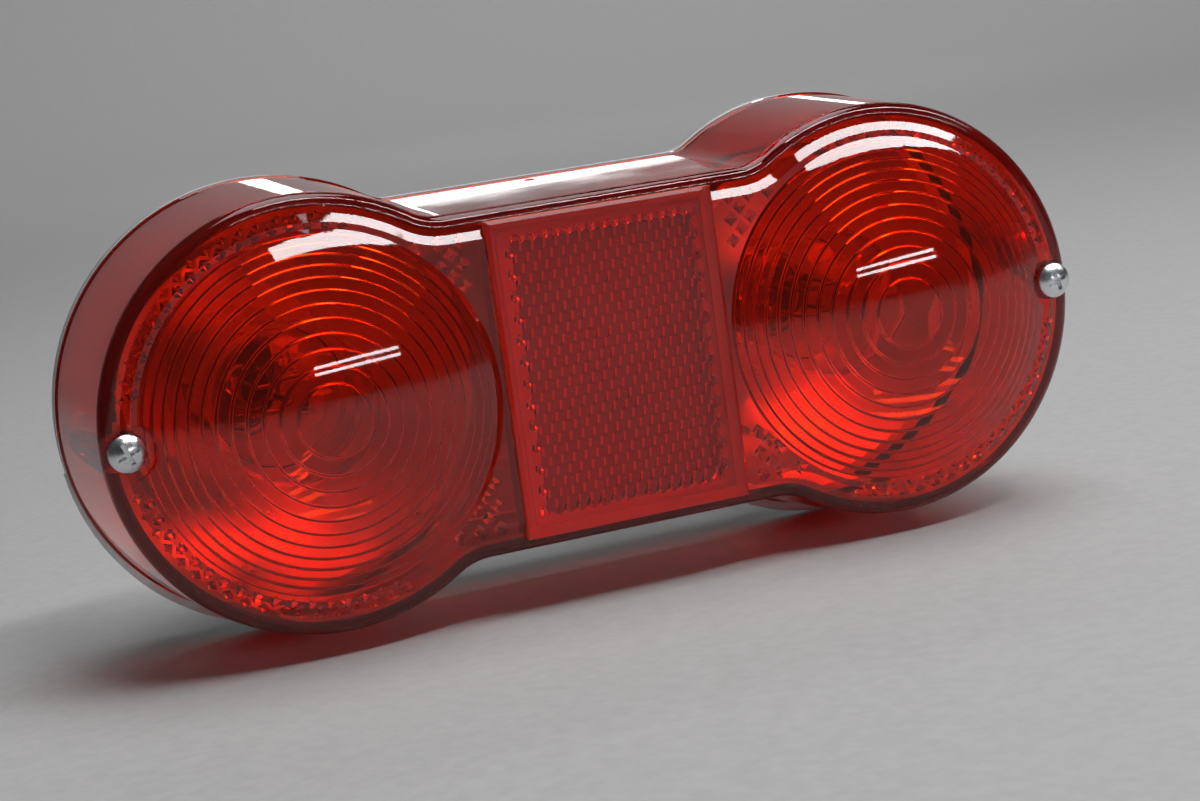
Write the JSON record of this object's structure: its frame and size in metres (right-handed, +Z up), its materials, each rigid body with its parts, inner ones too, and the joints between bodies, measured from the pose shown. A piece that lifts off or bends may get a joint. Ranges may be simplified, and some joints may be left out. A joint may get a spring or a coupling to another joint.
{
  "type": "motorcycle tail light",
  "caption": "Twin-round motorcycle tail light: a red lens with two ringed domes and a square reflex reflector, screwed to a steel base with two bayonet bulbs.",
  "frame": {"origin": "middle of the flat rear face of the base, between the two mounting studs", "axes": "X along the lamp, +Y out of the rear face along the studs (the lens faces -Y), +Z up"},
  "size_m": [0.213, 0.086, 0.0934],
  "materials": {
    "red_acrylic": "clear red moulding",
    "reflector_red": "clear red moulding with prisms behind",
    "backing_plastic": "pale moulding",
    "zinc_screw": "bright zinc",
    "seal_rubber": "matt black",
    "base_steel": "pale plated sheet",
    "plated_steel": "zinc plate",
    "bright_plate": "mirror-bright inside",
    "phenolic": "brown laminate",
    "contact_brass": "plain brass",
    "spring_steel": "plain wire",
    "bulb_glass": "clear",
    "filament_wire": "plain wire",
    "black_insulator": "black fused glass",
    "solder": "dull solder"
  },
  "bodies": {
    "base": {"base_pan": "base_steel", "lens_gasket": "seal_rubber", "screw_post_left": "plated_steel", "screw_post_right": "plated_steel", "mounting_studs": "plated_steel", "bowl_left": "bright_plate", "bowl_right": "bright_plate", "socket_shell_left": "plated_steel", "socket_shell_right": "plated_steel", "socket_boot_left": "seal_rubber", "socket_boot_right": "seal_rubber", "contact_spring_left": "spring_steel", "contact_spring_right": "spring_steel"},
    "lens_unit": {"lens": "red_acrylic", "reflex_reflector": "reflector_red", "reflex_back": "backing_plastic"},
    "screw_left": {"lens_screw_left": "zinc_screw"},
    "screw_right": {"lens_screw_right": "zinc_screw"},
    "bulb_left": {"bulb_glass_left": "bulb_glass", "bulb_cap_left": "contact_brass", "bulb_stem_left": "bulb_glass", "filaments_left": "filament_wire", "bulb_insulator_left": "black_insulator", "bulb_contacts_left": "solder", "contact_disc_left": "phenolic", "contact_rivets_left": "contact_brass"},
    "bulb_right": {"bulb_glass_right": "bulb_glass", "bulb_cap_right": "contact_brass", "bulb_stem_right": "bulb_glass", "filaments_right": "filament_wire", "bulb_insulator_right": "black_insulator", "bulb_contacts_right": "solder", "contact_disc_right": "phenolic", "contact_rivets_right": "contact_brass"}
  },
  "joints": [
    {"name": "lens_off", "type": "slide", "parent": "base", "child": "lens_unit", "axis": [0, -1, 0], "range_m": [0, 0.07]},
    {"name": "lens_screw_left_turn", "type": "hinge", "parent": "lens_unit", "child": "screw_left", "pos_m": [-0.0993, -0.0556, 0], "axis": [0, -1, 0], "continuous": true},
    {"name": "lens_screw_right_turn", "type": "hinge", "parent": "lens_unit", "child": "screw_right", "pos_m": [0.0993, -0.0556, 0], "axis": [0, -1, 0], "continuous": true},
    {"name": "bulb_left_push", "type": "slide", "parent": "base", "child": "bulb_left", "axis": [0, 1, 0], "range_m": [0, 0.002], "stiffness_N_per_m": 1200, "springref_m": -0.005, "deforming": ["contact_spring_left"]},
    {"name": "bulb_right_push", "type": "slide", "parent": "base", "child": "bulb_right", "axis": [0, 1, 0], "range_m": [0, 0.002], "stiffness_N_per_m": 1200, "springref_m": -0.005, "deforming": ["contact_spring_right"]}
  ]
}
